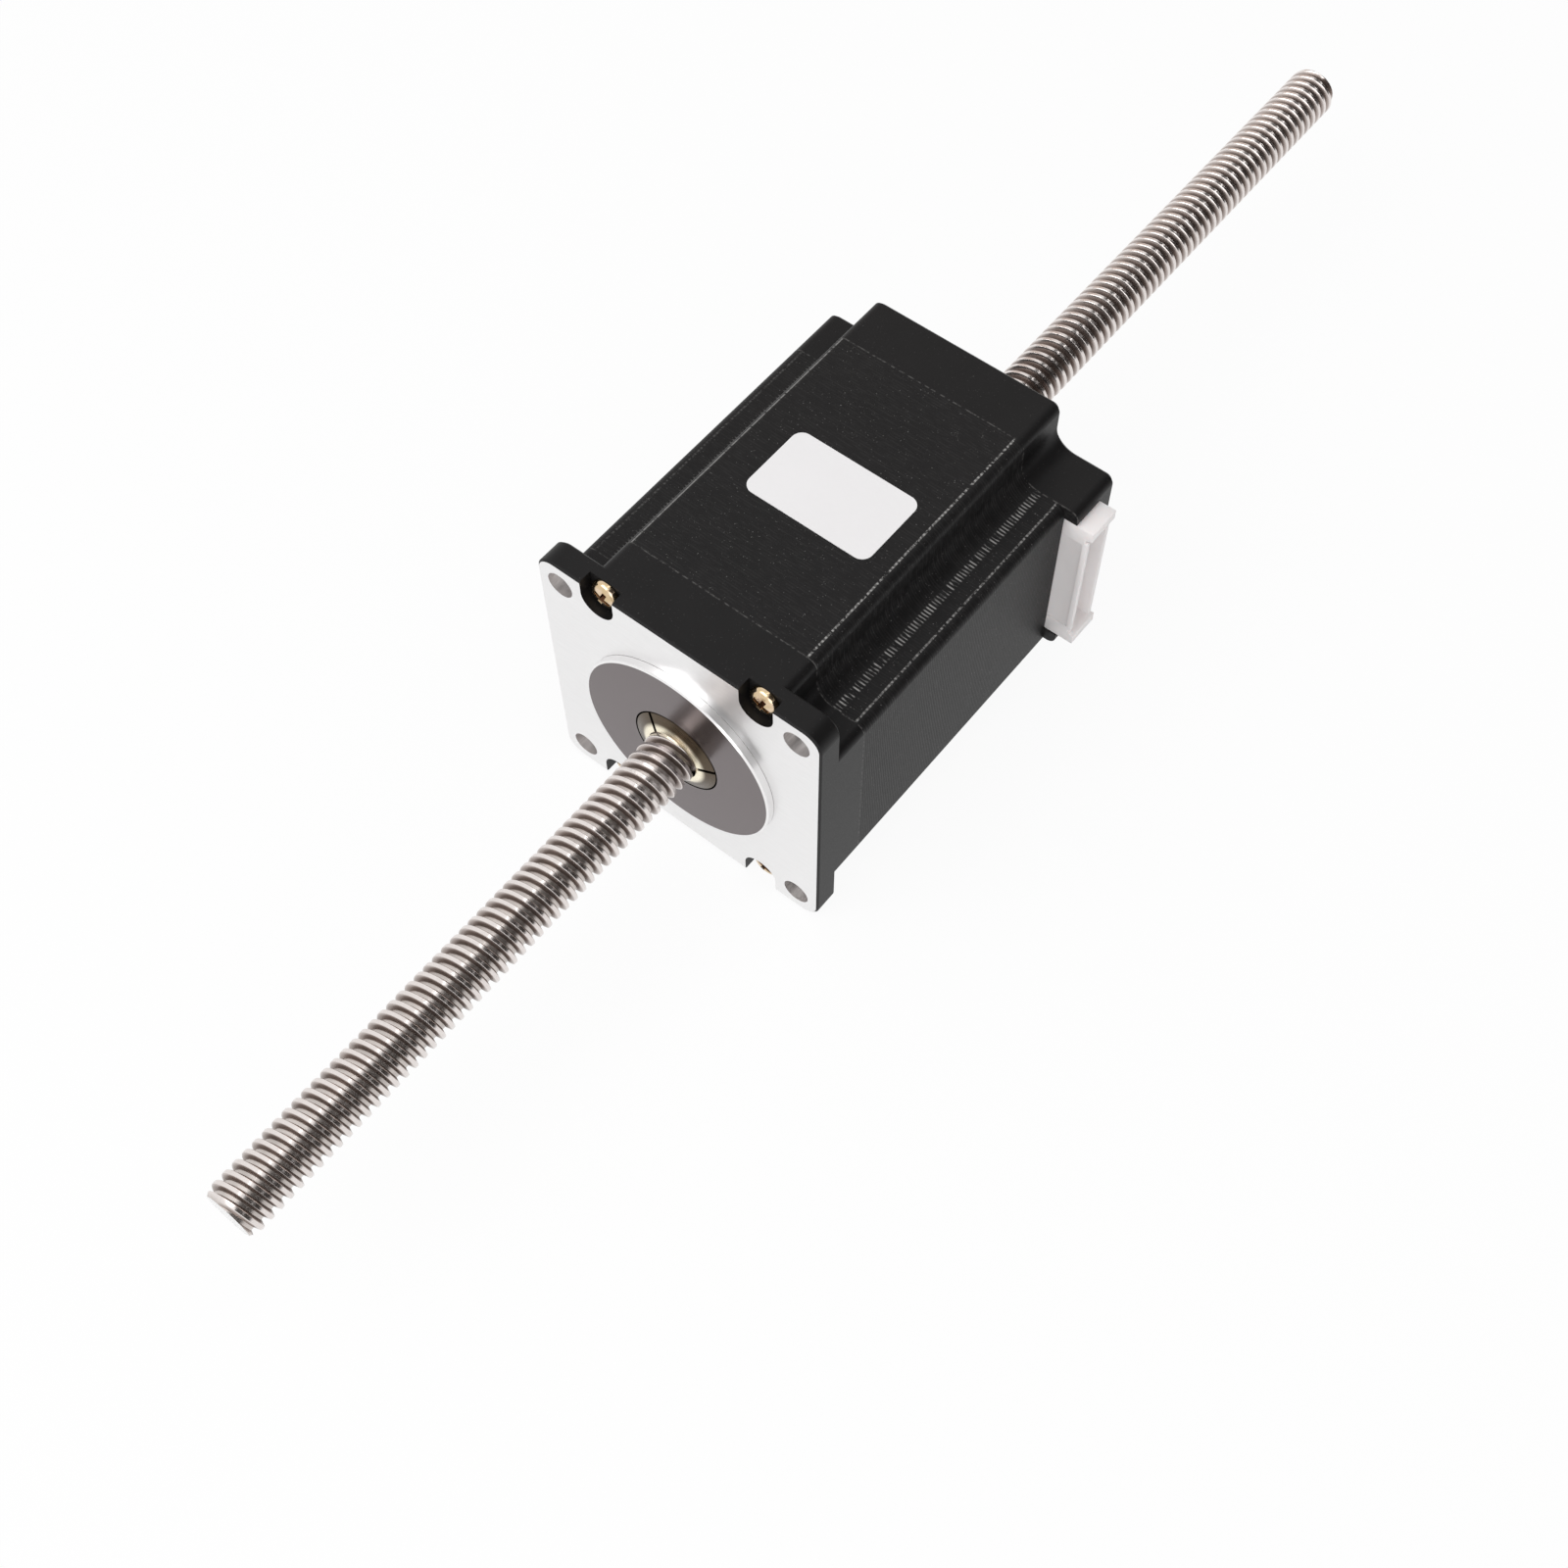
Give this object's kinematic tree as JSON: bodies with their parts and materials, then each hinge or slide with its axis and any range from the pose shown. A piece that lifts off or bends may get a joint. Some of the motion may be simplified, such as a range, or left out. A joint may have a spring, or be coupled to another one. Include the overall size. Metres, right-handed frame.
{
  "type": "linear stepper motor",
  "caption": "Square-flanged stepper motor with a hollow rotor and a drive nut inside; a long threaded screw travels straight through the motor.",
  "frame": {"origin": "centre of the front mounting face, on the screw axis, which is the centre of the four mounting holes", "axes": "+Y runs back through the motor along the screw; -Y points out of the mounting face; +X is the connector side; +Z is the label side"},
  "size_m": [0.0621, 0.2977, 0.0565],
  "materials": {
    "bell_black": "semi-gloss black, machined bare on the front face",
    "stack_steel": "black painted laminations, thin on the sides",
    "insulator_plastic": "moulded, natural",
    "copper_wire": "enamelled copper wire",
    "yellow_zinc": "yellow zinc plated",
    "spring_steel": "oiled spring steel",
    "bearing_steel": "ground",
    "shield_steel": "pressed sheet",
    "natural_nylon": "milky nylon",
    "tinned_brass": "tinned",
    "board_green": "solder mask",
    "label_white": "satin, blank",
    "shaft_steel": "turned",
    "nut_brass": "turned pale brass",
    "rotor_steel": "ground silicon steel",
    "magnet_nickel": "nickel plated",
    "spacer_aluminium": "turned",
    "cage_nylon": "moulded nylon",
    "ball_steel": "polished",
    "screw_stainless": "rolled stainless steel"
  },
  "bodies": {
    "housing": {"front_end_bell": "bell_black", "rear_end_bell": "bell_black", "stator_stack": "stack_steel", "front_insulator": "insulator_plastic", "rear_insulator": "insulator_plastic", "phase_a_coils": "copper_wire", "phase_b_coils": "copper_wire", "coil_leads": "copper_wire", "assembly_screws": "yellow_zinc", "wave_spring": "spring_steel", "front_bearing_outer_ring": "bearing_steel", "rear_bearing_outer_ring": "bearing_steel", "front_bearing_shields": "shield_steel", "rear_bearing_shields": "shield_steel", "connector_housing": "natural_nylon", "connector_pins": "tinned_brass", "terminal_board": "board_green", "label": "label_white"},
    "rotor": {"rotor_sleeve": "shaft_steel", "drive_nut": "nut_brass", "rotor_cup_1": "rotor_steel", "rotor_cup_2": "rotor_steel", "rotor_cup_3": "rotor_steel", "rotor_cup_4": "rotor_steel", "rotor_magnet_1": "magnet_nickel", "rotor_magnet_2": "magnet_nickel", "rotor_spacer": "spacer_aluminium", "front_bearing_inner_ring": "bearing_steel", "rear_bearing_inner_ring": "bearing_steel"},
    "front_ball_set": {"front_bearing_cage": "cage_nylon", "front_bearing_balls": "ball_steel"},
    "rear_ball_set": {"rear_bearing_cage": "cage_nylon", "rear_bearing_balls": "ball_steel"},
    "screw": {"lead_screw": "screw_stainless"}
  },
  "joints": [
    {"name": "rotor_spin", "type": "hinge", "parent": "housing", "child": "rotor", "pos_m": [0, 0.038, 0], "axis": [0, 1, 0], "range_deg": [-8459, 10349]},
    {"name": "screw_travel", "type": "slide", "parent": "housing", "child": "screw", "axis": [0, 1, 0], "range_m": [-0.115, 0.094]},
    {"name": "front_ball_roll", "type": "hinge", "parent": "housing", "child": "front_ball_set", "pos_m": [0, 0.0071, 0], "axis": [0, 1, 0], "range_deg": [-3679, 4500]},
    {"name": "rear_ball_roll", "type": "hinge", "parent": "housing", "child": "rear_ball_set", "pos_m": [0, 0.0685, 0], "axis": [0, 1, 0], "range_deg": [-3679, 4500]}
  ],
  "couplings": [
    {"joint": "screw_travel", "follows": "rotor_spin", "m_per_rad": -0.00063662},
    {"joint": "front_ball_roll", "follows": "rotor_spin", "ratio": 0.4346},
    {"joint": "rear_ball_roll", "follows": "rotor_spin", "ratio": 0.4346}
  ]
}
